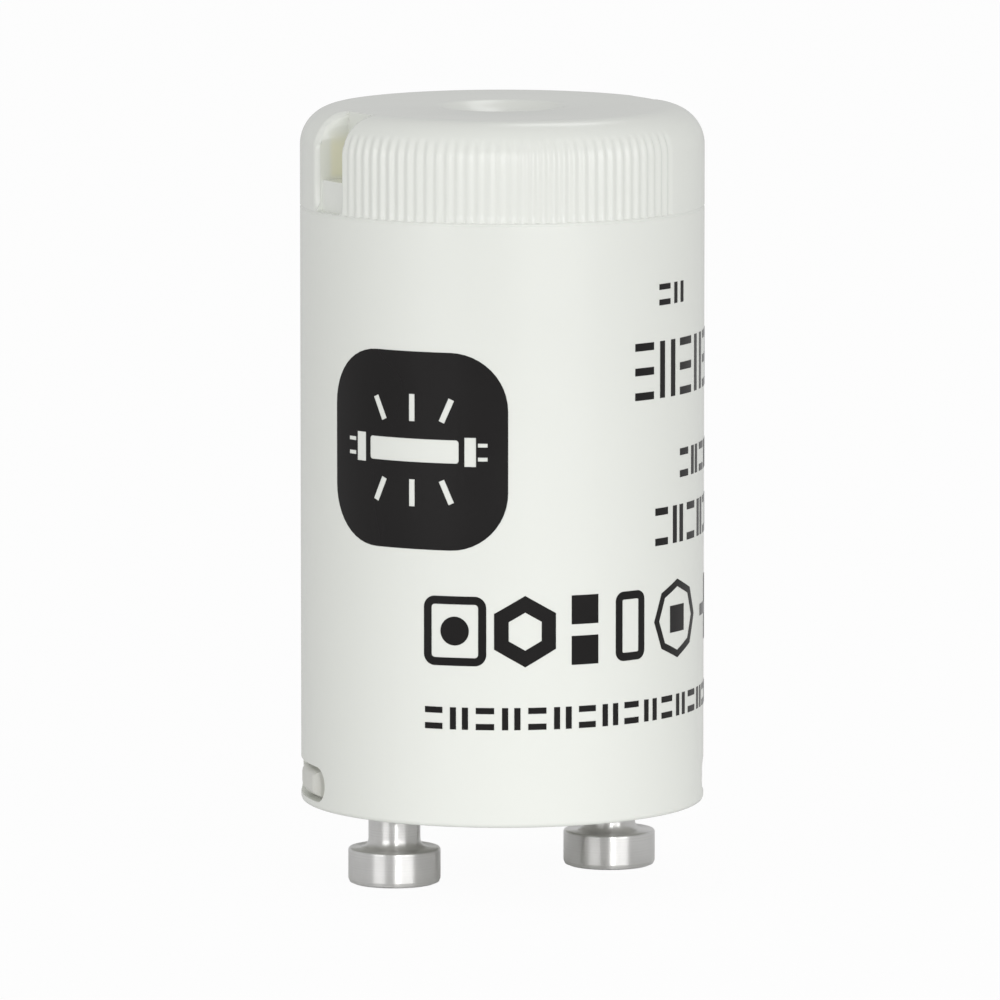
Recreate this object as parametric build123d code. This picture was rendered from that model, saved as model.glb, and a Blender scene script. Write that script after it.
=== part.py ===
from build123d import *
import math
import os

# A glow starter for a fluorescent lamp: a white moulded shell with a ribbed grip round its top,
# closed below by an insulating base with two headed contact pins. Inside stand a small glass
# glow lamp with a bimetal strip, and a suppression capacitor, both joined to the pins.
# Millimetres, +Z up. The origin is under the middle of the shell, level with the feet of the
# pins, and the pins stand on the X axis. Turns are degrees about +Z, counted from +X.

# Overall sizes
overall_height = 40.3
shell_radius = 10.5
shell_wall = 1.1
crown_wall = 1.45
rim_wall = 0.6
pin_inset = 4.15

# Headed contact pins
pin_head_radius = 2.4
pin_head_height = 1.85
pin_foot_chamfer = 0.2
pin_neck_radius = 1.35
pin_neck_length = 2.45
pin_shank_radius = 1.2
rivet_radius = 1.9
rivet_height = 0.55

# Insulating base
base_thickness = 2.0
base_recess = 0.3
base_clearance = 0.05

# Retaining lugs of the base and the windows in the shell that they snap into
lug_turn = 162.5
lug_length = 3.6
lug_height = 1.3
lug_inset = 0.05
window_length = 6.4
window_height = 1.95
window_above_rim = 0.25

# Shell
crown_rounding = 2.0
crown_bands = 3
dish_radius = 3.1
dish_depth = 0.85
dish_floor_radius = 1.6

# Ribbed grip
grip_height = 5.1
grip_turn = 182.6
rib_pitch = 3.0
ribs_in_a_row = 36
rib_groove_depth = 0.25
rib_land = 0.09
rib_cutter_margin = 0.06

# Grip slots, one at each end of the ribs
slot_width = 2.4
slot_depth = 2.0
slot_height = 3.45
slot_skin = 1.0
thumb_groove_depth = 0.4

# Terminal tags under the rivets
tag_thickness = 0.4
tag_reach = 2.3
tag_width = 4.2
tongue_width = 1.6
tongue_rise = 3.9

# Glow lamp
lamp_radius = 4.3
lamp_glass = 0.6
lamp_standoff = 4.7
lamp_headroom = 4.2
lamp_dome_turn = 45.0
lamp_dome_margin = 0.9
lamp_floor = 1.9
lamp_tip_height = 1.4
lamp_tip_radius = 0.5
pinch_width = 6.4
pinch_thickness = 2.6
pinch_height = 4.4
pinch_rounding = 0.8
pinch_depth = 1.2
lead_radius = 0.3
lead_spacing = 3.2
lead_above_pinch = 1.6
electrode_radius = 0.45
electrode_headroom = 3.4
strip_thickness = 0.22
strip_width = 1.8
strip_weld_length = 1.1
strip_below_tip = 0.5
strip_end_gap = 1.2
contact_gap = 0.5

# Suppression capacitor
capacitor_side_room = 4.4
capacitor_corner_room = 0.7
capacitor_thickness = 4.2
capacitor_chamfer = 0.5
capacitor_height = 11.0
capacitor_standoff = 5.9
seal_inset = 0.3
seal_height = 0.6

# Solder joints on the tongues
solder_width = 1.5
solder_thickness = 0.6
solder_chamfer = 0.3
solder_below_tip = 1.3
joint_lead_spacing = 0.9
lead_overrun = 1.3
tongue_lead_gap = 0.02

# Levels, radii and places that follow from the sizes above
rim_level = pin_head_height + pin_neck_length - base_recess
base_level = rim_level + base_recess
seat_level = base_level + base_thickness
tag_level = seat_level + tag_thickness
ceiling_level = overall_height - crown_wall
crown_arc_level = overall_height - crown_rounding
grip_level = overall_height - grip_height
slot_level = overall_height - slot_height
window_level = rim_level + window_above_rim + window_height / 2
shell_bore = shell_radius - shell_wall
rebate_radius = shell_radius - rim_wall
base_radius = rebate_radius - base_clearance
rib_groove_width = math.radians(rib_pitch) * shell_radius - rib_land
pin_spacing = 2 * (shell_radius - pin_inset)
tongue_x = pin_spacing / 2 - tag_reach
joint_level = tag_level + tongue_rise - solder_below_tip
lead_x = tongue_x - tag_thickness - lead_radius - tongue_lead_gap

# The capacitor's outer corners keep clear of the bore, and the lamp stands midway in the room left
capacitor_level = tag_level + capacitor_standoff
capacitor_width = 2 * (shell_bore - capacitor_side_room)
capacitor_reach = math.sqrt((shell_bore - capacitor_corner_room) ** 2 - (capacitor_width / 2) ** 2)
capacitor_offset = capacitor_reach - capacitor_thickness / 2
lamp_offset = (shell_bore - capacitor_reach + capacitor_thickness) / 2

# The lamp fills the height between its stand-off and its headroom
lamp_foot_level = tag_level + lamp_standoff
lamp_tip_level = ceiling_level - lamp_headroom
lamp_cavity_radius = lamp_radius - lamp_glass
lamp_low_centre = lamp_foot_level + pinch_height / 2 + lamp_radius
lamp_high_centre = lamp_tip_level - lamp_tip_height - lamp_radius
lamp_floor_level = lamp_low_centre - lamp_radius + lamp_floor
lamp_cavity_top = lamp_high_centre + lamp_dome_margin
weld_level = lamp_floor_level + lead_above_pinch
electrode_top = lamp_cavity_top - electrode_headroom


def turned(piece, turn):
    """The piece, turned about the shell's axis."""
    return piece.rotate(Axis.Z, turn)


def standing(piece, x, y, level):
    """The piece, moved to a place and level."""
    return Pos(x, y, level) * piece


def rod(radius, low, high):
    """A round rod on the shell's axis, from one level to another."""
    return Pos(0, 0, low) * Cylinder(radius, high - low, align=(Align.CENTER, Align.CENTER, Align.MIN))


def edges_at_level(piece, level):
    """The edges of a piece that lie in one level plane."""
    reach = 1e-4
    return piece.edges().filter_by_position(Axis.Z, level - reach, level + reach)


def arc_points(centre, radius, start, end, bands):
    """Points along an arc, which a turned profile joins with straight bands. Angles in degrees."""
    turns = [start + (end - start) * step / bands for step in range(bands + 1)]
    return [
        (centre[0] + radius * math.cos(math.radians(turn)), centre[1] + radius * math.sin(math.radians(turn)))
        for turn in turns
    ]


def turned_solid(points):
    """A solid of revolution about the shell's axis, from the corners of its half section."""
    return revolve(Plane.XZ * make_face(Polyline(*points, close=True)), Axis.Z)


def obround_bar(length, height, inner):
    """An obround bar along +X at the windows' level, from one distance to clear of the shell."""
    section = Plane.YZ.offset(inner) * SlotOverall(length, height)
    return Pos(0, 0, window_level) * extrude(section, 2 * shell_radius - inner)


# The shell


def shell_blank():
    """The turned outside of the shell: the wall, the rounded crown, and the dish on top."""
    crown = arc_points(
        (shell_radius - crown_rounding, crown_arc_level),
        crown_rounding,
        0,
        90,
        crown_bands,
    )
    dish = [
        (dish_radius, overall_height),
        (dish_floor_radius, overall_height - dish_depth),
        (0, overall_height - dish_depth),
    ]
    return turned_solid([(0, rim_level), (shell_radius, rim_level), *crown, *dish])


def shell_cavity():
    """The room inside the shell: a bore, and a rebate below it for the base."""
    bore = rod(shell_bore, seat_level, ceiling_level)
    for turn in (grip_turn, grip_turn + 180):
        bore -= turned(slot_backing(), turn)
    return bore + rod(rebate_radius, rim_level, seat_level)


def slot_backing():
    """The wall behind a grip slot, which stands into the bore so that the slot stays closed."""
    inner = shell_radius - slot_depth - slot_skin
    block = Box(
        shell_radius - inner,
        slot_width + 2 * slot_skin,
        slot_height + slot_skin,
        align=(Align.MIN, Align.CENTER, Align.MAX),
    )
    return Pos(inner, 0, overall_height) * block


def grip_slot():
    """A deep slot in the crown's edge, with a shallow thumb groove that runs on below it."""
    deep = Box(slot_depth * 2, slot_width, slot_height * 2, align=(Align.MIN, Align.CENTER, Align.CENTER))
    deep = Pos(shell_radius - slot_depth, 0, overall_height) * deep
    groove = Box(
        thumb_groove_depth * 2,
        slot_width,
        slot_level + slot_skin - grip_level,
        align=(Align.MIN, Align.CENTER, Align.MIN),
    )
    return deep + Pos(shell_radius - thumb_groove_depth, 0, grip_level) * groove


def rib_section():
    """The pointed section of a groove, with its point at the origin and its mouth towards +X."""
    slope = rib_groove_width / 2 / rib_groove_depth
    reach = rib_groove_depth + rib_cutter_margin
    return make_face(Polyline((0, 0), (reach, slope * reach), (reach, -slope * reach), close=True))


def rib_groove():
    """One upright groove between two ribs, which fades out where the crown turns in."""
    groove = extrude(rib_section(), overall_height - grip_level)
    return Pos(shell_radius - rib_groove_depth, 0, grip_level) * groove


def ribs():
    """Every groove of the two ribbed rows, each row starting beside a slot."""
    groove = rib_groove()
    half_slot = math.degrees(math.asin(slot_width / 2 / shell_radius))
    first = grip_turn + half_slot + rib_pitch
    return [
        turned(groove, first + side + index * rib_pitch)
        for side in (0, 180)
        for index in range(ribs_in_a_row)
    ]


def make_shell():
    """The moulded shell, one piece."""
    shell = shell_blank() - shell_cavity()
    for turn in (grip_turn, grip_turn + 180):
        shell -= turned(grip_slot(), turn)
        window = obround_bar(window_length, window_height, shell_radius / 2)
        shell -= turned(window, turn - grip_turn + lug_turn)
    return shell - ribs()


# The base and its pins


def make_base():
    """The insulating disc, with two lugs that stand out into the shell's windows."""
    base = rod(base_radius, base_level, seat_level)
    lug = Pos(shell_radius / 2, 0, window_level) * Box(
        shell_radius,
        lug_length,
        lug_height,
        align=(Align.MIN, Align.CENTER, Align.CENTER),
    )
    lug &= rod(shell_radius - lug_inset, rim_level, grip_level)
    for turn in (lug_turn, lug_turn + 180):
        base += turned(lug, turn)
    for side in (-1, 1):
        hole = rod(pin_shank_radius, base_level, seat_level)
        base -= standing(hole, side * pin_spacing / 2, 0, 0)
    return base


def make_pin(side):
    """A turned contact pin: head below, neck, shank through the base, and a riveted end."""
    end = tag_level + rivet_height
    head = rod(pin_head_radius, 0, pin_head_height)
    head = chamfer(edges_at_level(head, 0), pin_foot_chamfer)
    rivet = rod(rivet_radius, tag_level, end)
    neck = rod(pin_neck_radius, pin_head_height, base_level)
    pin = head + neck + rod(pin_shank_radius, base_level, tag_level) + rivet
    return standing(pin, side * pin_spacing / 2, 0, 0)


def make_tag(side):
    """A flat plate under the rivet, with a tongue bent up at its inner end to take the leads."""
    plate = Pos(-tag_reach, 0, seat_level) * Box(
        2 * tag_reach,
        tag_width,
        tag_thickness,
        align=(Align.MIN, Align.CENTER, Align.MIN),
    )
    plate = chamfer(plate.edges().filter_by(Axis.Z), tag_width / 4)
    tongue = Pos(-tag_reach - tag_thickness, 0, seat_level) * Box(
        tag_thickness,
        tongue_width,
        tag_thickness + tongue_rise,
        align=(Align.MIN, Align.CENTER, Align.MIN),
    )
    tag = plate + tongue - rod(pin_shank_radius, seat_level, tag_level)
    return standing(tag if side > 0 else turned(tag, 180), side * pin_spacing / 2, 0, 0)


# The glow lamp


def make_envelope():
    """The glass: a closed tube with a pinched foot, and a drawn-off tip on top."""
    pinch_top = lamp_low_centre - lamp_radius + pinch_depth
    pinch = Pos(0, 0, lamp_foot_level) * Box(
        pinch_width,
        pinch_thickness,
        pinch_top - lamp_foot_level,
        align=(Align.CENTER, Align.CENTER, Align.MIN),
    )
    pinch = chamfer(pinch.edges().filter_by(Axis.Z), pinch_rounding)
    foot = lamp_low_centre - lamp_radius
    dome = arc_points((0, lamp_high_centre), lamp_radius, 0, lamp_dome_turn, 1)
    tip = [(lamp_tip_radius, lamp_tip_level), (0, lamp_tip_level)]
    bulb = turned_solid([(0, foot), (lamp_radius, foot), *dome, *tip])
    cavity = rod(lamp_cavity_radius, lamp_floor_level, lamp_cavity_top)
    glass = bulb + pinch - cavity
    for side in (-1, 1):
        wire_hole = rod(lead_radius, lamp_foot_level, weld_level)
        glass -= standing(wire_hole, side * lead_spacing / 2, 0, 0)
    return standing(glass, 0, lamp_offset, 0)


def make_lamp_lead(side):
    """The wire from a solder joint, up through the pinched foot, to an electrode."""
    level = joint_level + joint_lead_spacing / 2
    corner = (side * lead_spacing / 2, lamp_offset, level)
    start = (side * lead_x, -lead_overrun, level)
    return bent_wire(start, corner, weld_level)


def make_fixed_electrode():
    """The straight electrode, butted on the right-hand lead."""
    electrode = rod(electrode_radius, weld_level, electrode_top)
    return standing(electrode, lead_spacing / 2, lamp_offset, 0)


def make_bimetal_strip():
    """The U-shaped strip beside the left-hand lead, whose free leg bends over to the electrode."""
    weld_face = -lead_spacing / 2 + lead_radius
    free_face = lead_spacing / 2 - electrode_radius - contact_gap
    bend = (free_face - weld_face) / 2
    middle = weld_face + bend
    bend_level = electrode_top - strip_below_tip - bend
    low = weld_level - strip_weld_length
    free_low = lamp_floor_level + strip_end_gap
    bow = Pos(middle, bend_level) * (Circle(bend) - Circle(bend - strip_thickness))
    bow &= Pos(middle, bend_level) * Rectangle(2 * bend, bend, align=(Align.CENTER, Align.MIN))
    fixed_leg = Pos(weld_face, low) * Rectangle(strip_thickness, bend_level - low, align=Align.MIN)
    free_leg = Pos(free_face - strip_thickness, free_low) * Rectangle(
        strip_thickness,
        bend_level - free_low,
        align=Align.MIN,
    )
    side_view = Plane.XZ * (bow + fixed_leg + free_leg)
    strip = extrude(side_view, strip_width / 2, both=True)
    return standing(strip, 0, lamp_offset, 0)


# The capacitor and the joints


def capacitor_block(inset, low, high):
    """A block on the capacitor's centre line, with chamfered corners, between two levels."""
    block = Pos(0, 0, low) * Box(
        capacitor_width - 2 * inset,
        capacitor_thickness - 2 * inset,
        high - low,
        align=(Align.CENTER, Align.CENTER, Align.MIN),
    )
    block = chamfer(block.edges().filter_by(Axis.Z), capacitor_chamfer)
    return standing(block, 0, -capacitor_offset, 0)


def make_capacitor_case():
    """The moulded case that holds the winding."""
    return capacitor_block(0, capacitor_level, capacitor_level + capacitor_height)


def make_capacitor_resin():
    """The resin that fills the mouth of the case, with holes for the two leads."""
    resin = capacitor_block(seal_inset, capacitor_level - seal_height, capacitor_level)
    for side in (-1, 1):
        hole = rod(lead_radius, capacitor_level - seal_height, capacitor_level)
        resin -= standing(hole, side * lead_x, -capacitor_offset, 0)
    return resin


def make_capacitor_lead(side):
    """The wire from the capacitor's lower end to a solder joint."""
    level = joint_level - joint_lead_spacing / 2
    corner = (side * lead_x, -capacitor_offset, level)
    start = (side * lead_x, lead_overrun, level)
    return bent_wire(start, corner, capacitor_level)


def bent_wire(start, corner, top):
    """A round wire, level from its start to a corner and upright from there."""
    route = Polyline(start, corner, (corner[0], corner[1], top))
    section = Plane(route @ 0, z_dir=route % 0) * Circle(lead_radius)
    return sweep(section, path=route, transition=Transition.RIGHT)


def make_solder(side):
    """The solder that fills the room between both leads and a tongue."""
    bead = Pos(-solder_thickness, 0, joint_level) * Box(
        solder_thickness,
        solder_width,
        joint_lead_spacing,
        align=(Align.MIN, Align.CENTER, Align.CENTER),
    )
    bead = chamfer(bead.edges().filter_by(Axis.Z).group_by(Axis.X)[0], solder_chamfer)
    bead = standing(bead, tongue_x - tag_thickness, 0, 0)
    bead = bead if side > 0 else turned(bead, 180)
    return bead - make_lamp_lead(side) - make_capacitor_lead(side)


export_list = {
    "canister": make_shell(),
    "base_disc": make_base(),
    "lamp_envelope": make_envelope(),
    "fixed_electrode": make_fixed_electrode(),
    "bimetal_strip": make_bimetal_strip(),
    "capacitor_case": make_capacitor_case(),
    "capacitor_resin": make_capacitor_resin(),
}
for side, word in ((-1, "left"), (1, "right")):
    export_list["contact_pin_" + word] = make_pin(side)
    export_list["terminal_tag_" + word] = make_tag(side)
    export_list["lamp_lead_" + word] = make_lamp_lead(side)
    export_list["capacitor_lead_" + word] = make_capacitor_lead(side)
    export_list["solder_joint_" + word] = make_solder(side)

os.makedirs("parts", exist_ok=True)
for name, piece in export_list.items():
    export_step(piece, f"parts/{name}.step")
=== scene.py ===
from math import asin, atan2, cos, degrees, hypot, radians, sin

import bmesh
import bpy
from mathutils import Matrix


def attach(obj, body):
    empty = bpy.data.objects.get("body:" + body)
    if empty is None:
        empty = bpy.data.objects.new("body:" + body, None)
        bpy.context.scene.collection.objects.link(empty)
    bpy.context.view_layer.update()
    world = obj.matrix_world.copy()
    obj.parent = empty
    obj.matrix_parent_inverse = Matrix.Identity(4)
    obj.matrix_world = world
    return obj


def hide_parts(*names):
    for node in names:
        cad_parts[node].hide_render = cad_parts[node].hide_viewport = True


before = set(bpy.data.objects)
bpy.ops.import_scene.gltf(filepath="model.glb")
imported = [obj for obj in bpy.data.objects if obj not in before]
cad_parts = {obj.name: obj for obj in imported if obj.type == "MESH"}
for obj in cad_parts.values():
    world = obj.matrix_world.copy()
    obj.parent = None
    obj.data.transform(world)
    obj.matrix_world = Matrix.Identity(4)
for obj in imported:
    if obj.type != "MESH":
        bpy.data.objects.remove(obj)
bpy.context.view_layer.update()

# Sizes of the starter, in metres. Turns are degrees about +Z from +X.
MM = 0.001

# The shell: wall, rounded top, ceiling, and the seat and rebate that take the base disc.
SHELL_R = 10.5 * MM
HEIGHT = 40.3 * MM
RIM_Z = 4.0 * MM
GRIP_Z = 35.2 * MM
CROWN_R = 2.0 * MM
CROWN_STEPS = 16
BORE_R = 9.4 * MM
REBATE_R = 9.9 * MM
SEAT_Z = 6.3 * MM
CEILING_Z = 38.85 * MM
CEILING_EASE = 0.8 * MM
CIRCLE_POINTS = 960
POINT_STEP = 360 / CIRCLE_POINTS

# The dish in the middle of the top.
DISH_R = 3.1 * MM
DISH_DEPTH = 0.85 * MM
DISH_STEPS = 13

# Ribs: one groove every eight points of the shell's circle. The shares say how deep a point lies,
# counted in points from the groove's middle.
RIB_FIRST = 9.562
RIB_PITCH = 3.0
RIBS_IN_ROW = 36
RIB_DEPTH = 0.08 * MM
RIB_DEEPEST = RIB_DEPTH * 1.1
RIB_SHARES = {0: 1.0, 1: 0.84, 2: 0.48, 3: 0.14}
RIB_LEAN = 0.24

# The grip slots: the deep slot's floor, the thumb groove below it, and the wall behind them.
SLOT_TURN = 182.6
SLOT_HALF = 1.2 * MM
SLOT_FLOOR = 8.5 * MM
SLOT_Z = 36.85 * MM
THUMB_FLOOR = 10.1 * MM
BACKING = 1.0 * MM
LIP_SINK = 0.24 * MM

# Bands beside a slot, in millimetres: nearest and farthest distance, and how deep the band sinks.
LIP_BANDS = ((0.06, 0.13, 0.13), (0.13, 0.20, 0.07), (0.20, 0.27, 0.035), (0.27, 0.34, 0.012))

# The snap windows above the rim, and the lugs of the base disc that show in them.
WINDOW_TURN = 162.5
WINDOW_Z = 5.225 * MM
WINDOW_LIFT = 0.05 * MM
WINDOW_LENGTH = 6.4 * MM
WINDOW_HEIGHT = 1.85 * MM
LUG_R = 10.45 * MM
LUG_HEIGHT = 1.3 * MM
LUG_HALF = 1.8 * MM
LUG_EASE = 0.38 * MM

# The base disc.
DISC_R = 9.85 * MM
DISC_THICK = 2.1 * MM
DISC_MIDDLE = 5.25 * MM

# The pins: head and shank, and the rings that keep the head's long faces straight.
PIN_X = 6.35 * MM
HEAD_R = 2.4 * MM
HEAD_TOP = 1.85 * MM
FOOT_EASE = 0.24 * MM
HEAD_EASE = 0.12 * MM
HEAD_RINGS = ((0.30, -1), (1.68, 1))
SHANK_R = 1.2 * MM

# Radius and level, in millimetres, of each ring of a pin above its head: the flare, the neck, the
# shank through the base, and the riveted end.
PIN_RINGS = [
    (1.8, 1.85), (1.66, 1.88), (1.53, 1.95), (1.43, 2.06), (1.37, 2.2), (1.35, 2.35), (1.35, 2.45),
    (1.35, 4.3), (1.2, 4.3), (1.2, 6.7), (1.9, 6.7), (1.9, 7.0), (1.8, 7.18), (1.5, 7.25),
]

# How close two places count as the same when they are picked.
CLOSE = 0.01 * MM
FLAT = 0.002 * MM
SAME_LEVEL = 1e-7
LEVEL_SLACK = 1e-6


# ---- Hand tools: pick faces and points by place, then work on them


def clear_picks():
    bpy.ops.object.select_all(action="DESELECT")


def take(piece):
    clear_picks()
    piece.select_set(True)
    bpy.context.view_layer.objects.active = piece


def settle(piece):
    """Puts the piece's place, turn and size into its mesh."""
    take(piece)
    bpy.ops.object.transform_apply(location=True, rotation=True, scale=True)


def begin_edit(piece):
    take(piece)
    bpy.ops.object.mode_set(mode="EDIT")
    bpy.ops.mesh.select_all(action="DESELECT")


def end_edit():
    bpy.ops.object.mode_set(mode="OBJECT")


def pick(kind, test):
    """Selects the points, edges or faces of the mesh being edited whose place passes the test."""
    bpy.ops.mesh.select_mode(type=kind)
    mesh = bmesh.from_edit_mesh(bpy.context.object.data)
    found = 0
    if kind == "VERT":
        parts = [(v, v.co) for v in mesh.verts]
    elif kind == "EDGE":
        parts = [(e, (e.verts[0].co + e.verts[1].co) / 2) for e in mesh.edges]
    else:
        parts = [(f, f.calc_center_median()) for f in mesh.faces]
    for part, place in parts:
        hit = bool(test(part, place))
        part.select = hit
        found += hit
    mesh.select_flush_mode()
    bmesh.update_edit_mesh(bpy.context.object.data)
    return found


def radius_at(place):
    return hypot(place.x, place.y)


def finish_piece(piece, name, smooth):
    """Names the piece, leaves its object at the origin and smooths the faces up to an angle."""
    settle(piece)
    bpy.ops.object.shade_smooth_by_angle(angle=radians(smooth))
    piece.name = name
    piece.data.name = name


def apply_modifier(piece, modifier):
    take(piece)
    bpy.ops.object.modifier_apply(modifier=modifier.name)


def cut_away(piece, cutter):
    """Cuts one closed piece out of another and removes the cutter."""
    tool = piece.modifiers.new("cut", "BOOLEAN")
    tool.operation = "DIFFERENCE"
    tool.solver = "EXACT"
    tool.object = cutter
    apply_modifier(piece, tool)
    bpy.data.objects.remove(cutter)


def join(pieces):
    clear_picks()
    for piece in pieces:
        piece.select_set(True)
    bpy.context.view_layer.objects.active = pieces[0]
    bpy.ops.object.join()
    return pieces[0]


# ---- Shader groups shared by several materials


def new_group(name, inputs, outputs):
    group = bpy.data.node_groups.new(name, "ShaderNodeTree")
    for label, kind, value in inputs:
        socket = group.interface.new_socket(name=label, in_out="INPUT", socket_type=kind)
        if value is not None:
            socket.default_value = value
    for label, kind in outputs:
        group.interface.new_socket(name=label, in_out="OUTPUT", socket_type=kind)
    way_in = group.nodes.new("NodeGroupInput")
    way_out = group.nodes.new("NodeGroupOutput")
    return group, way_in, way_out


def add_math(tree, operation, first, second=None):
    """A Math node. Each value is a number or the socket that feeds it."""
    node = tree.nodes.new("ShaderNodeMath")
    node.operation = operation
    for slot, value in ((0, first), (1, second)):
        if value is None:
            continue
        if hasattr(value, "links"):
            tree.links.new(value, node.inputs[slot])
        else:
            node.inputs[slot].default_value = value
    return node.outputs[0]


def add_noise(tree, vector, scale, detail):
    node = tree.nodes.new("ShaderNodeTexNoise")
    node.inputs["Detail"].default_value = detail
    if hasattr(scale, "links"):
        tree.links.new(scale, node.inputs["Scale"])
    else:
        node.inputs["Scale"].default_value = scale
    tree.links.new(vector, node.inputs["Vector"])
    return node.outputs["Fac"]


def make_moulded_grain():
    """Moulded plastic: a fine orange peel for the height, and broad soft clouds for the tone."""
    group, way_in, way_out = new_group(
        "moulded grain",
        [("Vector", "NodeSocketVector", None), ("Peel Scale", "NodeSocketFloat", 2500.0),
         ("Cloud Scale", "NodeSocketFloat", 90.0)],
        [("Height", "NodeSocketFloat"), ("Cloud", "NodeSocketFloat")],
    )
    peel = add_noise(group, way_in.outputs["Vector"], way_in.outputs["Peel Scale"], 3.0)
    cloud = add_noise(group, way_in.outputs["Vector"], way_in.outputs["Cloud Scale"], 2.0)
    group.links.new(peel, way_out.inputs["Height"])
    group.links.new(cloud, way_out.inputs["Cloud"])
    return group


def make_tool_marks():
    """Turned or drawn metal: fine lines across one direction, as a height and a tone."""
    group, way_in, way_out = new_group(
        "tool marks",
        [("Along", "NodeSocketFloat", 0.0), ("Vector", "NodeSocketVector", None),
         ("Lines", "NodeSocketFloat", 9000.0)],
        [("Height", "NodeSocketFloat"), ("Tone", "NodeSocketFloat")],
    )
    stretch = group.nodes.new("ShaderNodeCombineXYZ")
    lines = add_math(group, "MULTIPLY", way_in.outputs["Along"], way_in.outputs["Lines"])
    group.links.new(lines, stretch.inputs[0])
    fine = add_noise(group, stretch.outputs[0], 1.0, 3.0)
    blotch = add_noise(group, way_in.outputs["Vector"], 700.0, 3.0)
    group.links.new(fine, way_out.inputs["Height"])
    group.links.new(add_math(group, "MULTIPLY", fine, blotch), way_out.inputs["Tone"])
    return group


MOULDED_GRAIN = make_moulded_grain()
TOOL_MARKS = make_tool_marks()


# ---- Materials

# Socket numbers of a Mix node that mixes colours.
MIX_FACTOR, MIX_FIRST, MIX_SECOND, MIX_RESULT = 0, 6, 7, 2

PLASTIC_IOR = 1.5
GLASS_IOR = 1.5

# A quarter turn, so that the metal's reflections spread upright.
UPRIGHT_STREAK = 0.25


def new_material(name):
    """A new material with its tree, its surface shader and the object's own coordinates."""
    material = bpy.data.materials.new(name)
    material.use_nodes = True
    tree = material.node_tree
    surface = tree.nodes["Principled BSDF"]
    place = tree.nodes.new("ShaderNodeTexCoord").outputs["Object"]
    return material, tree, surface, place


def add_group(tree, group, **values):
    node = tree.nodes.new("ShaderNodeGroup")
    node.node_tree = group
    for label, value in values.items():
        node.inputs[label.replace("_", " ")].default_value = value
    return node


def ramp(tree, fac, low, high, start=0.3, end=0.7):
    """Goes softly from one colour to another."""
    node = tree.nodes.new("ShaderNodeValToRGB")
    node.color_ramp.interpolation = "EASE"
    node.color_ramp.elements[0].position = start
    node.color_ramp.elements[1].position = end
    node.color_ramp.elements[0].color = (*low, 1)
    node.color_ramp.elements[1].color = (*high, 1)
    tree.links.new(fac, node.inputs[0])
    return node.outputs[0]


def map_range(tree, value, low, high, start=0.3, end=0.7):
    """Goes softly from one number to another."""
    node = tree.nodes.new("ShaderNodeMapRange")
    node.interpolation_type = "SMOOTHSTEP"
    node.inputs["From Min"].default_value = start
    node.inputs["From Max"].default_value = end
    node.inputs["To Min"].default_value = low
    node.inputs["To Max"].default_value = high
    tree.links.new(value, node.inputs["Value"])
    return node.outputs["Result"]


def mix_colours(tree, mask, first, second):
    """Goes from the first colour, or the socket that gives it, to the second by a mask."""
    node = tree.nodes.new("ShaderNodeMix")
    node.data_type = "RGBA"
    tree.links.new(mask, node.inputs[MIX_FACTOR])
    if hasattr(first, "links"):
        tree.links.new(first, node.inputs[MIX_FIRST])
    else:
        node.inputs[MIX_FIRST].default_value = first
    node.inputs[MIX_SECOND].default_value = second
    return node.outputs[MIX_RESULT]


def bump(tree, surface, height, distance):
    node = tree.nodes.new("ShaderNodeBump")
    node.inputs["Distance"].default_value = distance
    node.inputs["Strength"].default_value = 1.0
    tree.links.new(height, node.inputs["Height"])
    tree.links.new(node.outputs["Normal"], surface.inputs["Normal"])


def plastic(name, low, high, rough_low, rough_high, peel_scale, peel_height, specular=0.5):
    """Moulded plastic, resin or ink: soft clouds in colour and gloss, and a fine peel."""
    material, tree, surface, place = new_material(name)
    grain = add_group(tree, MOULDED_GRAIN, Peel_Scale=peel_scale)
    tree.links.new(place, grain.inputs["Vector"])
    tree.links.new(ramp(tree, grain.outputs["Cloud"], low, high), surface.inputs["Base Color"])
    rough = map_range(tree, grain.outputs["Cloud"], rough_low, rough_high)
    tree.links.new(rough, surface.inputs["Roughness"])
    bump(tree, surface, grain.outputs["Height"], peel_height)
    surface.inputs["IOR"].default_value = PLASTIC_IOR
    surface.inputs["Specular IOR Level"].default_value = specular
    return material, tree, surface, place


def metal(name, low, high, rough_low, rough_high, lines, depth, along="z", streak=0.0):
    """Metal with tool marks. They follow the height, or the distance from each pin's middle."""
    material, tree, surface, place = new_material(name)
    split = tree.nodes.new("ShaderNodeSeparateXYZ")
    tree.links.new(place, split.inputs[0])
    marks = add_group(tree, TOOL_MARKS, Lines=lines)
    tree.links.new(place, marks.inputs["Vector"])
    if along == "pin":
        across = add_math(tree, "SUBTRACT", add_math(tree, "ABSOLUTE", split.outputs["X"]), PIN_X)
        square = add_math(tree, "ADD", add_math(tree, "MULTIPLY", across, across),
                          add_math(tree, "MULTIPLY", split.outputs["Y"], split.outputs["Y"]))
        reach = add_math(tree, "SQRT", square)
        tree.links.new(add_math(tree, "ADD", reach, split.outputs["Z"]), marks.inputs["Along"])
    else:
        tree.links.new(split.outputs[along.upper()], marks.inputs["Along"])
    colour = ramp(tree, marks.outputs["Tone"], low, high, 0.1, 0.45)
    tree.links.new(colour, surface.inputs["Base Color"])
    rough = map_range(tree, marks.outputs["Height"], rough_low, rough_high)
    tree.links.new(rough, surface.inputs["Roughness"])
    surface.inputs["Metallic"].default_value = 1.0
    surface.inputs["Anisotropic"].default_value = streak
    surface.inputs["Anisotropic Rotation"].default_value = UPRIGHT_STREAK
    bump(tree, surface, marks.outputs["Height"], depth)
    return material


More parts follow.
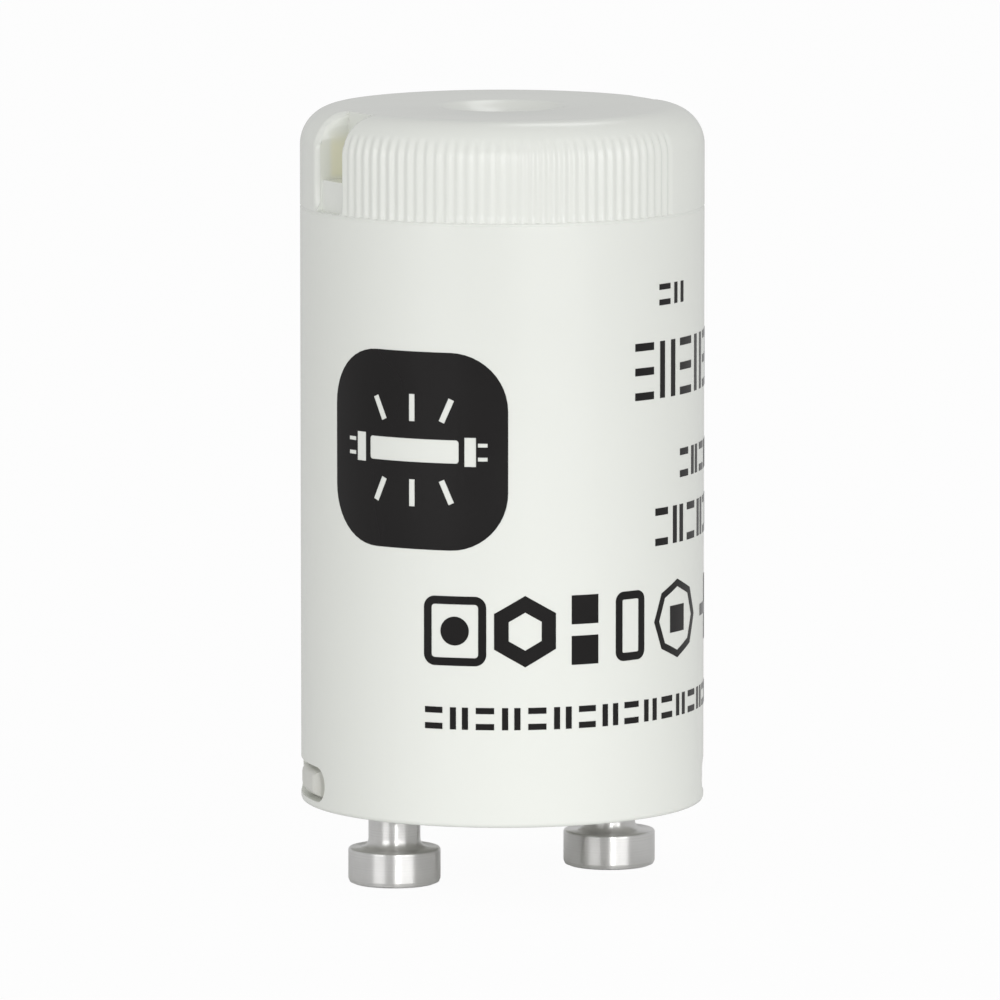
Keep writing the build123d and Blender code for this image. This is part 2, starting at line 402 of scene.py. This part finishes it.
def make_glass():
    """Clear glass with the slight waves of a drawn tube."""
    material, tree, surface, place = new_material("lamp glass")
    grain = add_group(tree, MOULDED_GRAIN, Peel_Scale=300.0)
    tree.links.new(place, grain.inputs["Vector"])
    bump(tree, surface, grain.outputs["Height"], 0.00004)
    tree.links.new(map_range(tree, grain.outputs["Cloud"], 0.02, 0.06), surface.inputs["Roughness"])
    surface.inputs["Base Color"].default_value = (0.95, 0.97, 0.97, 1)
    surface.inputs["Transmission Weight"].default_value = 1.0
    surface.inputs["IOR"].default_value = GLASS_IOR
    return material


def make_shell_white():
    """White moulded plastic. Deep in the grip slots the colour is painted a darker olive as painted
    shade, and a faint warm glow is painted there for light coming through the plastic.
    """
    material, tree, surface, place = plastic(
        "shell white", (0.816, 0.832, 0.786), (0.824, 0.840, 0.794), 0.22, 0.25, 2600.0, 0.000004)
    turned = tree.nodes.new("ShaderNodeMapping")
    turned.inputs["Rotation"].default_value = (0, 0, radians(-SLOT_TURN))
    tree.links.new(place, turned.inputs["Vector"])
    split = tree.nodes.new("ShaderNodeSeparateXYZ")
    tree.links.new(turned.outputs["Vector"], split.inputs[0])
    across = add_math(tree, "ABSOLUTE", split.outputs["Y"])
    inwards = add_math(tree, "ABSOLUTE", split.outputs["X"])
    height = split.outputs["Z"]
    # A mask for the deep part of each slot, where shade and a glow are painted.
    deep = map_range(tree, inwards, 1.0, 0.0, 9.4 * MM, 9.75 * MM)
    beside = map_range(tree, across, 1.0, 0.0, SLOT_HALF, SLOT_HALF + 0.15 * MM)
    above = map_range(tree, height, 0.0, 1.0, SLOT_Z - 0.1 * MM, SLOT_Z + 0.3 * MM)
    below = map_range(tree, height, 1.0, 0.0, HEIGHT - 1.9 * MM, HEIGHT - 0.8 * MM)
    level = add_math(tree, "MULTIPLY", above, below)
    mask = add_math(tree, "MULTIPLY", add_math(tree, "MULTIPLY", deep, beside), level)
    white = surface.inputs["Base Color"].links[0].from_socket
    # Painted shade: deep in the slots the white goes to a darker olive.
    painted_slot_shade = mix_colours(tree, mask, white, (0.76, 0.755, 0.64, 1))
    tree.links.new(painted_slot_shade, surface.inputs["Base Color"])
    # Painted glow: a faint warm emission in the same place, standing in for light coming through
    # the plastic.
    through = mix_colours(tree, mask, (0, 0, 0, 1), (0.070, 0.068, 0.044, 1))
    tree.links.new(through, surface.inputs["Emission Color"])
    surface.inputs["Emission Strength"].default_value = 1.0
    return material


# Each finish: its two colours, its two roughnesses, then the scale and depth of its grain or marks.
SHELL_WHITE = make_shell_white()
BASE_WHITE = plastic(
    "base white", (0.70, 0.70, 0.655), (0.76, 0.76, 0.715), 0.42, 0.55, 3000.0, 0.00001)[0]
INK_BLACK = plastic(
    "ink black", (0.006, 0.005, 0.005), (0.010, 0.009, 0.009), 0.15, 0.19, 5200.0, 0.000001,
    specular=0.25)[0]
PIN_METAL = metal(
    "turned pin metal", (0.72, 0.715, 0.705), (0.80, 0.795, 0.785), 0.29, 0.36, 14000.0, 0.000002,
    along="pin", streak=0.86)
TAG_BRASS = metal(
    "stamped brass", (0.62, 0.44, 0.17), (0.74, 0.55, 0.25), 0.28, 0.42, 9000.0, 0.000006,
    along="y")
SOLDER_GREY = metal(
    "solder grey", (0.42, 0.42, 0.43), (0.58, 0.58, 0.60), 0.30, 0.50, 900.0, 0.00003, along="x")
TINNED_WIRE = metal(
    "tinned wire", (0.55, 0.54, 0.52), (0.68, 0.67, 0.65), 0.22, 0.36, 8000.0, 0.000006)
ROD_STEEL = metal(
    "drawn rod steel", (0.36, 0.36, 0.37), (0.48, 0.48, 0.49), 0.32, 0.45, 8000.0, 0.000006,
    along="x")
STRIP_METAL = metal(
    "rolled strip metal", (0.42, 0.40, 0.36), (0.56, 0.54, 0.49), 0.28, 0.40, 8000.0, 0.000006,
    along="y")
CASE_YELLOW = plastic(
    "capacitor case yellow", (0.56, 0.36, 0.04), (0.64, 0.43, 0.07), 0.45, 0.58, 3500.0, 0.00002)[0]
RESIN = plastic(
    "capacitor resin", (0.34, 0.22, 0.05), (0.42, 0.28, 0.07), 0.18, 0.30, 500.0, 0.00004)[0]
LAMP_GLASS = make_glass()


def dress(piece, material):
    piece.data.materials.clear()
    piece.data.materials.append(material)


# ---- The shell


def shell_profile():
    """Radius and height of each ring of the shell, from the ceiling's middle out, down and over."""
    rings = [(0.3 * MM, CEILING_Z), (BORE_R - CEILING_EASE, CEILING_Z)]
    for turn in (30, 60, 90):
        rings.append((BORE_R - CEILING_EASE * (1 - sin(radians(turn))),
                      CEILING_Z - CEILING_EASE * (1 - cos(radians(turn)))))
    # Down the bore, past the disc's seat and rebate, and round the rim.
    rings += [(BORE_R, SLOT_Z - BACKING), (BORE_R, SLOT_Z - BACKING - 0.03 * MM), (BORE_R, SEAT_Z)]
    rings += [(REBATE_R, SEAT_Z), (REBATE_R, RIM_Z + 0.12 * MM), (REBATE_R + 0.05 * MM, RIM_Z)]
    rings += [(SHELL_R - 0.2 * MM, RIM_Z), (SHELL_R - 0.12 * MM, RIM_Z + 0.015 * MM)]
    rings += [(SHELL_R - 0.05 * MM, RIM_Z + 0.06 * MM), (SHELL_R, RIM_Z + 0.18 * MM)]
    # Up the wall to the fine line below the grip. Rings beside the borders keep faces straight.
    rings += [(SHELL_R, RIM_Z + 0.24 * MM), (SHELL_R, 7.5 * MM), (SHELL_R, 20 * MM)]
    rings += [(SHELL_R, GRIP_Z - 0.22 * MM), (SHELL_R, GRIP_Z - 0.16 * MM)]
    rings += [(SHELL_R - 0.04 * MM, GRIP_Z - 0.12 * MM), (SHELL_R - 0.04 * MM, GRIP_Z - 0.04 * MM)]
    # Up the grip to the thumb groove's ledge and the slot's floor.
    rings += [(SHELL_R, GRIP_Z), (SHELL_R, GRIP_Z + 0.03 * MM), (SHELL_R, GRIP_Z + 0.46 * MM)]
    rings += [(SHELL_R, SLOT_Z - 0.12 * MM), (SHELL_R, SLOT_Z - 0.03 * MM), (SHELL_R, SLOT_Z)]
    # Over the rounded crown and across the flat top.
    for step in range(CROWN_STEPS + 1):
        turn = radians(90 * step / CROWN_STEPS)
        rings.append((SHELL_R - CROWN_R + CROWN_R * cos(turn),
                      HEIGHT - CROWN_R + CROWN_R * sin(turn)))
    rings += [(SHELL_R - CROWN_R - 0.2 * MM, HEIGHT), (SHELL_R - CROWN_R - 0.5 * MM, HEIGHT)]
    # The dish: a rounded lip, a hollow floor and the moulding point in its middle.
    rings += [(DISH_R + 0.45 * MM, HEIGHT), (DISH_R + 0.25 * MM, HEIGHT - 0.02 * MM)]
    rings += [(DISH_R + 0.08 * MM, HEIGHT - 0.07 * MM)]
    for step in range(1, DISH_STEPS):
        share = 1 - step / DISH_STEPS
        rings.append((DISH_R * share, HEIGHT - DISH_DEPTH * (1 - 0.88 * share ** 2.6)))
    rings += [(0.2 * MM, HEIGHT - DISH_DEPTH), (0.17 * MM, HEIGHT - DISH_DEPTH + 0.14 * MM)]
    rings += [(0.1 * MM, HEIGHT - DISH_DEPTH + 0.18 * MM)]
    return rings


def draw_rings(name, points, rings):
    """Extrudes a circle through a list of radii and heights, and closes both ends."""
    first = rings[0]
    bpy.ops.mesh.primitive_circle_add(vertices=points, radius=first[0], location=(0, 0, first[1]))
    piece = bpy.context.object
    piece.name = name
    bpy.ops.object.mode_set(mode="EDIT")
    bpy.ops.mesh.select_all(action="SELECT")
    bpy.ops.mesh.edge_face_add()
    for (before, low), (after, high) in zip(rings, rings[1:]):
        bpy.ops.mesh.extrude_region_move(TRANSFORM_OT_translate={"value": (0, 0, high - low)})
        scale = after / before
        bpy.ops.transform.resize(value=(scale, scale, 1), center_override=(0, 0, 0))
    bpy.ops.mesh.select_all(action="SELECT")
    bpy.ops.mesh.normals_make_consistent(inside=False)
    end_edit()
    return piece


def turn_about(piece, angle):
    """Turns a finished mesh about the upright axis."""
    piece.rotation_euler = (0, 0, radians(angle))
    settle(piece)


def place_turn(place):
    return degrees(atan2(place.y, place.x)) % 360


def groove_step(place):
    """How many points a place is from the nearest groove's middle, or None outside the ribs."""
    turn = (place_turn(place) - RIB_FIRST) % 180
    if turn > (RIBS_IN_ROW - 1) * RIB_PITCH + RIB_PITCH / 2 and turn < 180 - RIB_PITCH / 2:
        return None
    away = (turn + RIB_PITCH / 2) % RIB_PITCH - RIB_PITCH / 2
    return round(abs(away) / POINT_STEP)


def groove_floor(height):
    """Radius of a groove's deepest line: upright on the wall, leaning in over the crown."""
    lean = max(0.0, height - (HEIGHT - CROWN_R))
    return SHELL_R - RIB_DEPTH - lean * RIB_LEAN


def press_ribs(shell):
    """Presses the grooves of both ribbed rows into the rings of the grip."""
    begin_edit(shell)
    mesh = bmesh.from_edit_mesh(shell.data)
    heights = sorted({round(v.co.z, 7) for v in mesh.verts
                      if v.co.z > GRIP_Z + CLOSE and radius_at(v.co) > BORE_R})

    def on_ring(place):
        return abs(place.z - height) < SAME_LEVEL and radius_at(place) > BORE_R

    for height in heights:
        radius = radius_at(next(v.co for v in mesh.verts if on_ring(v.co)))
        depth = radius - groove_floor(height)
        if depth < 0.004 * MM:
            continue
        for step, share in RIB_SHARES.items():
            scale = (radius - min(depth, RIB_DEEPEST) * share) / radius
            if pick("VERT", lambda part, place: on_ring(place) and groove_step(place) == step):
                bpy.ops.transform.resize(value=(scale, scale, 1), center_override=(0, 0, 0))
    end_edit()


def is_outside(place):
    """Whether a place is on the shell's outer side, not in the bore or on the ceiling."""
    return radius_at(place) > BORE_R + 0.02 * MM or place.z > CEILING_Z + 0.1 * MM


def round_slot_edges(side):
    """Straightens the slot's long edges and rounds them: the points beside it sink by steps."""
    def beside_slot(place, near, far):
        away = abs(place.y) - SLOT_HALF
        return (is_outside(place) and near * MM <= away < far * MM and place.z > GRIP_Z + 0.44 * MM
                and place.x * side > SLOT_FLOOR + 0.1 * MM)

    for near, far, sink in LIP_BANDS:
        pick("VERT", lambda part, place: beside_slot(place, near, far))
        bpy.ops.transform.shrink_fatten(value=-sink * MM)
    mesh = bmesh.from_edit_mesh(bpy.context.object.data)
    edge = [v.co for v in mesh.verts if beside_slot(v.co, -0.01, 0.06)]
    rings = {round(place.z, 7): abs(place.y) for place in edge}
    for height, half in rings.items():
        lean = asin(min(1.0, max(0.0, (height - HEIGHT + CROWN_R) / CROWN_R)))
        pick("VERT", lambda part, place: abs(place.z - height) < SAME_LEVEL
             and beside_slot(place, -0.01, 0.06))
        bpy.ops.transform.resize(value=(1, SLOT_HALF / half, 1), center_override=(0, 0, 0))
        bpy.ops.transform.translate(value=(-side * LIP_SINK * cos(lean), 0, -LIP_SINK * sin(lean)))


def press_slot(shell, side):
    """Presses one grip slot: the backing inside, the slot in the crown, the thumb groove."""
    begin_edit(shell)
    behind = SLOT_FLOOR - BACKING

    def in_backing(place):
        return (place.x * side > behind and abs(place.y) < SLOT_HALF + BACKING
                and SLOT_Z - BACKING - CLOSE < place.z < CEILING_Z + CLOSE
                and radius_at(place) < BORE_R + CLOSE)

    if pick("VERT", lambda part, place: in_backing(place)):
        bpy.ops.transform.resize(value=(0, 1, 1), center_override=(side * behind, 0, 0))

    def in_slot(place, low, high, floor):
        return (is_outside(place) and low - LEVEL_SLACK < place.z < high + LEVEL_SLACK
                and place.x * side > floor and abs(place.y) < SLOT_HALF - CLOSE)

    def flatten(low, high, floor):
        if pick("VERT", lambda part, place: in_slot(place, low, high, floor)):
            bpy.ops.transform.resize(value=(0, 1, 1), center_override=(side * floor, 0, 0))

    flatten(SLOT_Z, HEIGHT, SLOT_FLOOR)
    flatten(SLOT_Z - 0.04 * MM, SLOT_Z - 0.02 * MM, THUMB_FLOOR - 0.04 * MM)
    flatten(GRIP_Z + 0.02 * MM, SLOT_Z - 0.10 * MM, THUMB_FLOOR)
    round_slot_edges(side)
    end_edit()


def cut_window(shell, turn):
    """Cuts one window with round ends through the wall above the rim, a little wider outside."""
    bpy.ops.mesh.primitive_cylinder_add(vertices=48, radius=WINDOW_HEIGHT / 2, depth=3.0 * MM,
                                        location=(SHELL_R - 0.1 * MM, 0, 0),
                                        rotation=(0, radians(90), 0))
    cutter = bpy.context.object
    settle(cutter)
    begin_edit(cutter)
    reach = (WINDOW_LENGTH - WINDOW_HEIGHT) / 2
    for side in (-1, 1):
        pick("VERT", lambda part, place: place.y * side > 0.02 * MM)
        bpy.ops.transform.translate(value=(0, side * reach, 0))
    pick("FACE", lambda part, place: place.x > SHELL_R + 1.0 * MM)
    bpy.ops.transform.resize(value=(1, 1.1, 1), center_override=(0, 0, 0))
    bpy.ops.transform.translate(value=(0, 0, WINDOW_HEIGHT / 20))
    end_edit()
    cutter.location = (0, 0, WINDOW_Z + WINDOW_LIFT)
    cutter.rotation_euler = (0, 0, radians(turn))
    cut_away(shell, cutter)


def make_shell():
    """The moulded shell: its rings, then its ribs, slots and windows."""
    shell = draw_rings("shell", CIRCLE_POINTS, shell_profile())
    turn_about(shell, (RIB_FIRST % POINT_STEP) - 90 % POINT_STEP)
    press_ribs(shell)
    for side in (-1, 1):
        press_slot(shell, side)
    turn_about(shell, SLOT_TURN)
    for turn in (WINDOW_TURN, WINDOW_TURN + 180):
        cut_window(shell, turn)
    finish_piece(shell, "shell", 60)
    dress(shell, SHELL_WHITE)
    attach(shell, "root")
    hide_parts("canister")


# ---- The base and the pins


def make_lug(turn):
    """One lug of the base disc, with eased outer edges."""
    bpy.ops.mesh.primitive_cylinder_add(vertices=180, radius=LUG_R, depth=LUG_HEIGHT,
                                        location=(0, 0, WINDOW_Z))
    lug = bpy.context.object
    settle(lug)
    begin_edit(lug)
    for side in (-1, 1):
        bpy.ops.mesh.select_all(action="SELECT")
        bpy.ops.mesh.bisect(plane_co=(0, side * LUG_HALF, 0), plane_no=(0, side, 0),
                            clear_outer=True, use_fill=True)
    bpy.ops.mesh.select_all(action="SELECT")
    bpy.ops.mesh.bisect(plane_co=(9.0 * MM, 0, 0), plane_no=(-1, 0, 0),
                        clear_outer=True, use_fill=True)
    pick("EDGE", lambda part, place: place.x > 9.9 * MM and part.is_manifold
         and part.calc_face_angle() > 0.8)
    bpy.ops.mesh.bevel(offset=LUG_EASE, segments=4)
    end_edit()
    turn_about(lug, turn)
    return lug


def make_base():
    """The base disc with its two lugs, its edges eased and a hole for each pin."""
    bpy.ops.mesh.primitive_cylinder_add(vertices=180, radius=DISC_R, depth=DISC_THICK,
                                        location=(0, 0, DISC_MIDDLE))
    plate = bpy.context.object
    settle(plate)
    begin_edit(plate)
    for level, ease in ((DISC_MIDDLE - DISC_THICK / 2, 0.02), (DISC_MIDDLE + DISC_THICK / 2, 0.15)):
        pick("EDGE", lambda part, place: radius_at(place) > DISC_R - 0.05 * MM
             and abs(place.z - level) < CLOSE)
        bpy.ops.mesh.bevel(offset=ease * MM, segments=3)
    end_edit()
    for side in (-1, 1):
        bpy.ops.mesh.primitive_cylinder_add(vertices=64, radius=SHANK_R, depth=4 * MM,
                                            location=(side * PIN_X, 0, 5.3 * MM))
        cut_away(plate, bpy.context.object)
    pieces = [plate] + [make_lug(turn) for turn in (WINDOW_TURN, WINDOW_TURN + 180)]
    base = join(pieces)
    finish_piece(base, "base", 35)
    dress(base, BASE_WHITE)
    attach(base, "root")
    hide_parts("base_disc")


def make_pin(side, node):
    """A turned pin: a head with a bevelled foot, a neck that flares into it, and the end inside."""
    bpy.ops.mesh.primitive_cylinder_add(vertices=96, radius=HEAD_R, depth=HEAD_TOP,
                                        location=(side * PIN_X, 0, HEAD_TOP / 2))
    pin = bpy.context.object
    settle(pin)
    begin_edit(pin)
    pick("EDGE", lambda part, place: abs(place.z) < CLOSE)
    bpy.ops.mesh.bevel(offset=FOOT_EASE, segments=2)
    pick("EDGE", lambda part, place: abs(place.z - HEAD_TOP) < CLOSE)
    bpy.ops.mesh.bevel(offset=HEAD_EASE, segments=3)
    for level, up in HEAD_RINGS:
        bpy.ops.mesh.select_all(action="SELECT")
        bpy.ops.mesh.bisect(plane_co=(0, 0, level * MM), plane_no=(0, 0, up), threshold=SAME_LEVEL)
    # The foot's face, with the small hollow of the turning centre.
    pick("FACE", lambda part, place: abs(place.z) < FLAT and part.normal.z < -0.99)
    bpy.ops.mesh.inset(thickness=1.8 * MM, depth=0)
    bpy.ops.mesh.inset(thickness=0.2 * MM, depth=0)
    bpy.ops.transform.translate(value=(0, 0, 0.1 * MM))
    # The neck and the inner end, ring by ring upwards.
    pick("FACE", lambda part, place: abs(place.z - HEAD_TOP) < FLAT and part.normal.z > 0.99)
    radius, level = (HEAD_R - HEAD_EASE) / MM, HEAD_TOP / MM
    for new_radius, new_level in PIN_RINGS:
        scale = new_radius / radius
        rise = (new_level - level) * MM
        bpy.ops.mesh.extrude_region_move(TRANSFORM_OT_translate={"value": (0, 0, rise)})
        bpy.ops.transform.resize(value=(scale, scale, 1), center_override=(side * PIN_X, 0, 0))
        radius, level = new_radius, new_level
    bpy.ops.mesh.select_all(action="SELECT")
    bpy.ops.mesh.normals_make_consistent(inside=False)
    end_edit()
    finish_piece(pin, "pin_left" if side < 0 else "pin_right", 32)
    dress(pin, PIN_METAL)
    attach(pin, "root")
    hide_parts(node)


# ---- The printing: flat shapes laid out on the unrolled wall, then bent round the shell

PRINT_MIDDLE = 332.1
INK_THICK = 0.04 * MM
STRIP = 0.4 * MM

# Rows of strokes: the turn where a row starts, then in millimetres its level, a mark's width and
# height and the stroke, and last how many marks there are.
PRINT_ROWS = (
    (50.2, 30.6, 0.95, 1.1, 0.3, 2),
    (40.5, 25.8, 1.35, 2.95, 0.4, 8),
    (60.8, 21.5, 0.95, 1.5, 0.36, 5),
    (48.6, 18.15, 1.05, 1.95, 0.38, 8),
    (-22.2, 9.1, 0.95, 1.15, 0.32, 19),
)


def bar(x, z, width, height, tilt=0):
    """A flat bar, in millimetres, placed by its lower left corner."""
    bpy.ops.mesh.primitive_plane_add(size=1, rotation=(radians(90), 0, 0))
    shape = bpy.context.object
    shape.scale = (width * MM, height * MM, 1)
    settle(shape)
    shape.rotation_euler = (0, radians(tilt), 0)
    shape.location = ((x + width / 2) * MM, 0, (z + height / 2) * MM)
    return shape


def rounded_bar(x, z, width, height, corner):
    """A bar whose corners are rounded."""
    shape = bar(x, z, width, height)
    begin_edit(shape)
    bpy.ops.mesh.select_all(action="SELECT")
    bpy.ops.mesh.bevel(offset=corner * MM, segments=12, affect="VERTICES")
    end_edit()
    return shape


def disc(x, z, radius, points=64):
    """A flat disc, or a plain many-sided shape, placed by its middle."""
    bpy.ops.mesh.primitive_circle_add(vertices=points, radius=radius * MM, fill_type="NGON",
                                      location=(x * MM, 0, z * MM), rotation=(radians(90), 0, 0))
    return bpy.context.object


def hollow(shape, stroke):
    """Leaves only an outline of the shape, of one stroke's width."""
    begin_edit(shape)
    bpy.ops.mesh.select_all(action="SELECT")
    bpy.ops.mesh.inset(thickness=stroke * MM, depth=0)
    bpy.ops.mesh.delete(type="FACE")
    end_edit()
    return shape


def wrap(shapes, thick):
    """Joins flat shapes, cuts them into strips, bends them round the shell and gives them depth."""
    sheet = join(shapes)
    settle(sheet)
    low = min(v.co.x for v in sheet.data.vertices)
    high = max(v.co.x for v in sheet.data.vertices)
    begin_edit(sheet)
    for number in range(1, int((high - low) / STRIP) + 1):
        bpy.ops.mesh.select_all(action="SELECT")
        bpy.ops.mesh.bisect(plane_co=(low + number * STRIP, 0, 0), plane_no=(1, 0, 0))
    end_edit()
    bend = sheet.modifiers.new("bend", "SIMPLE_DEFORM")
    bend.deform_method = "BEND"
    bend.deform_axis = "Z"
    bend.angle = (high - low) / SHELL_R
    apply_modifier(sheet, bend)
    sheet.location = (0, -SHELL_R, 0)
    settle(sheet)
    turn_about(sheet, PRINT_MIDDLE)
    depth = sheet.modifiers.new("depth", "SOLIDIFY")
    depth.thickness = thick
    depth.offset = 0
    apply_modifier(sheet, depth)
    return sheet


def arc(turn):
    """Millimetres along the unrolled wall for a turn counted from the layout's middle."""
    return radians(turn) * SHELL_R / MM


def print_field():
    """The dark field with a pale lamp sign: a straight tube, its caps and pins, and its light."""
    x, z, half = arc(-26.2), 23.45, 5.1
    field = wrap([rounded_bar(x - half, z - half, 2 * half, 2 * half, 3.0)], INK_THICK)
    sign = [rounded_bar(x - 2.55, z - 0.6, 5.1, 1.2, 0.15)]
    for side in (-1, 1):
        sign.append(bar(x + side * 3.15 - 0.3, z - 0.75, 0.6, 1.5))
        for row in (-1, 1):
            sign.append(bar(x + side * 3.8 - 0.25, z + row * 0.36 - 0.1, 0.5, 0.2))
            tilt = side * row * 24
            sign.append(bar(x + side * 1.9 - 0.16, z + row * 2.1 - 0.65, 0.32, 1.3, tilt))
    for row in (-1, 1):
        sign.append(bar(x - 0.16, z + row * 2.2 - 0.7, 0.32, 1.4))
    cut_away(field, wrap(sign, 10 * INK_THICK))
    return field


def print_row(start, level, width, height, stroke, count):
    """A row of strokes: level bars and pairs of uprights by turns. Tall marks have three bars."""
    shapes = []
    x = arc(start)
    levels = 3 if height > 2 else 2
    for place in range(count):
        if place % 2:
            shapes.append(bar(x, level, stroke, height))
            shapes.append(bar(x + width - stroke, level, stroke, height))
        else:
            for number in range(levels):
                rise = number * (height - stroke) / (levels - 1)
                shapes.append(bar(x, level + rise, width, stroke))
        x += width + stroke * 1.25
    return shapes


def print_figures():
    """A row of plain figures: two frames, a nut, blocks, an eight-sided frame and a cross."""
    low, middle = 12.4, 14.2
    x = arc(-22.5)
    shapes = [hollow(rounded_bar(x, low, 3.3, 3.6, 0.6), 0.42), disc(x + 1.65, middle, 0.75, 32)]
    shapes += [hollow(disc(x + 5.3, middle, 1.85, 6), 0.75)]
    shapes += [bar(x + 7.75, low, 1.5, 1.5), bar(x + 7.75, low + 2.1, 1.5, 1.5)]
    shapes += [hollow(rounded_bar(x + 10.3, low, 1.9, 3.6, 0.5), 0.42)]
    shapes += [hollow(disc(x + 15.0, middle, 2.05, 8), 0.36), bar(x + 14.3, middle - 0.7, 1.4, 1.4)]
    shapes += [bar(x + 18.3, middle - 0.3, 3.4, 0.6), bar(x + 19.7, low + 0.1, 0.6, 3.4)]
    shapes += [hollow(rounded_bar(x + 23.0, low, 3.4, 3.6, 0.6), 0.42)]
    shapes += [bar(x + 24.0, middle - 0.5, 1.4, 1.0)]
    return shapes


def make_printing():
    """All the black ink as one thin piece on the shell's wall."""
    rows = print_figures()
    for row in PRINT_ROWS:
        rows += print_row(*row)
    printing = join([print_field(), wrap(rows, INK_THICK)])
    begin_edit(printing)
    bpy.ops.mesh.select_all(action="SELECT")
    bpy.ops.mesh.normals_make_consistent(inside=False)
    end_edit()
    finish_piece(printing, "printing", 35)
    dress(printing, INK_BLACK)
    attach(printing, "root")


make_shell()
make_base()
make_pin(-1, "contact_pin_left")
make_pin(1, "contact_pin_right")
make_printing()

NODE_FINISHES = {
    "terminal_tag_left": TAG_BRASS,
    "terminal_tag_right": TAG_BRASS,
    "solder_joint_left": SOLDER_GREY,
    "solder_joint_right": SOLDER_GREY,
    "lamp_envelope": LAMP_GLASS,
    "lamp_lead_left": TINNED_WIRE,
    "lamp_lead_right": TINNED_WIRE,
    "capacitor_lead_left": TINNED_WIRE,
    "capacitor_lead_right": TINNED_WIRE,
    "fixed_electrode": ROD_STEEL,
    "bimetal_strip": STRIP_METAL,
    "capacitor_case": CASE_YELLOW,
    "capacitor_resin": RESIN,
}
for node, material in NODE_FINISHES.items():
    dress(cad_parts[node], material)


# ---- Floor, light and camera

# How much plain white the floor shows the camera, and how strongly the room lights the starter.
FLOOR_GLOW = 0.955
ROOM_LIGHT = 0.595

# The lamps' aim above the floor, and then each lamp: its turn and height in degrees, its distance,
# width and tallness in metres, and its power.
LAMP_AIM = 0.02
LAMPS = {
    "key": (271, 11, 0.7, 0.50, 0.30, 1.42),
    "fill": (204, 10, 0.7, 0.36, 0.28, 0.69),
    "overhead": (50.6, 50, 0.8, 0.18, 0.18, 0.22),
}


def make_floor():
    """A wide pale floor. The camera sees it nearly white, and it keeps the shadow."""
    bpy.ops.mesh.primitive_plane_add(size=8.0, location=(0, 0, -0.00005))
    floor = bpy.context.object
    floor.name = "floor"
    material = bpy.data.materials.new("floor paper")
    material.use_nodes = True
    tree = material.node_tree
    surface = tree.nodes["Principled BSDF"]
    surface.inputs["Base Color"].default_value = (0.86, 0.86, 0.86, 1)
    surface.inputs["Roughness"].default_value = 0.9
    glow = tree.nodes.new("ShaderNodeEmission")
    glow.inputs["Strength"].default_value = 1.0
    mix = tree.nodes.new("ShaderNodeMixShader")
    path = tree.nodes.new("ShaderNodeLightPath")
    seen = add_math(tree, "MULTIPLY", path.outputs["Is Camera Ray"], FLOOR_GLOW)
    tree.links.new(seen, mix.inputs[0])
    tree.links.new(surface.outputs[0], mix.inputs[1])
    tree.links.new(glow.outputs[0], mix.inputs[2])
    tree.links.new(mix.outputs[0], tree.nodes["Material Output"].inputs["Surface"])
    dress(floor, material)


def add_to_scene(name, data):
    holder = bpy.data.objects.new(name, data)
    bpy.context.scene.collection.objects.link(holder)
    return holder


def hang_lamp(name, lamp, turn, height, distance, aim_z):
    """Hangs a lamp so that it faces the starter's axis. Its turn is counted as the part's is."""
    holder = add_to_scene(name, lamp)
    away = distance * cos(radians(height))
    holder.location = (away * cos(radians(turn)), away * sin(radians(turn)),
                       distance * sin(radians(height)) + aim_z)
    holder.rotation_euler = (radians(90 - height), 0, radians(turn + 90))


def make_spot(name, turn, height, distance, aim_z, reach, softness, power):
    """A soft-edged spot on the starter's foot."""
    lamp = bpy.data.lights.new(name, "SPOT")
    lamp.energy = power
    lamp.spot_blend = 1.0
    lamp.spot_size = 2 * atan2(reach, distance)
    lamp.shadow_soft_size = softness
    hang_lamp(name, lamp, turn, height, distance, aim_z)


def make_light(name, turn, height, distance, width, tall, power):
    """A soft lamp that faces the middle of the starter."""
    lamp = bpy.data.lights.new(name, "AREA")
    lamp.shape = "RECTANGLE"
    lamp.size = width
    lamp.size_y = tall
    lamp.energy = power
    hang_lamp(name, lamp, turn, height, distance, LAMP_AIM)


def make_camera():
    """The camera stands at the photograph's angle, with a long lens."""
    turn, tilt, distance = radians(242.1), radians(7.4), 0.6
    camera = bpy.data.cameras.new("camera")
    camera.lens = 414.7
    camera.sensor_width = 36
    camera.clip_start = 0.05
    camera.clip_end = 20
    holder = add_to_scene("camera", camera)
    # The point it looks at: a little left of the axis, as the camera sees it.
    aside = -0.00012
    aim = (-aside * sin(turn), aside * cos(turn), 0.01965)
    holder.location = (
        aim[0] + distance * cos(tilt) * cos(turn),
        aim[1] + distance * cos(tilt) * sin(turn),
        aim[2] + distance * sin(tilt),
    )
    holder.rotation_euler = (radians(90) - tilt, 0, turn + radians(90))
    bpy.context.scene.camera = holder


def make_world():
    """An even white room, seen white directly and through glass."""
    world = bpy.data.worlds.new("room")
    bpy.context.scene.world = world
    world.use_nodes = True
    tree = world.node_tree
    back = tree.nodes["Background"]
    back.inputs["Color"].default_value = (1, 1, 1, 1)
    path = tree.nodes.new("ShaderNodeLightPath")
    seen = add_math(tree, "MAXIMUM", path.outputs["Is Camera Ray"],
                    path.outputs["Is Transmission Ray"])
    tree.links.new(map_range(tree, seen, ROOM_LIGHT, 1.0, 0.0, 1.0), back.inputs["Strength"])


make_floor()
for lamp_name, lamp_values in LAMPS.items():
    make_light(lamp_name, *lamp_values)
make_spot("foot", turn=250, height=10, distance=0.9, aim_z=-0.010, reach=0.032,
          softness=0.03, power=9.0)
make_world()
make_camera()
bpy.context.scene.view_settings.view_transform = "Standard"
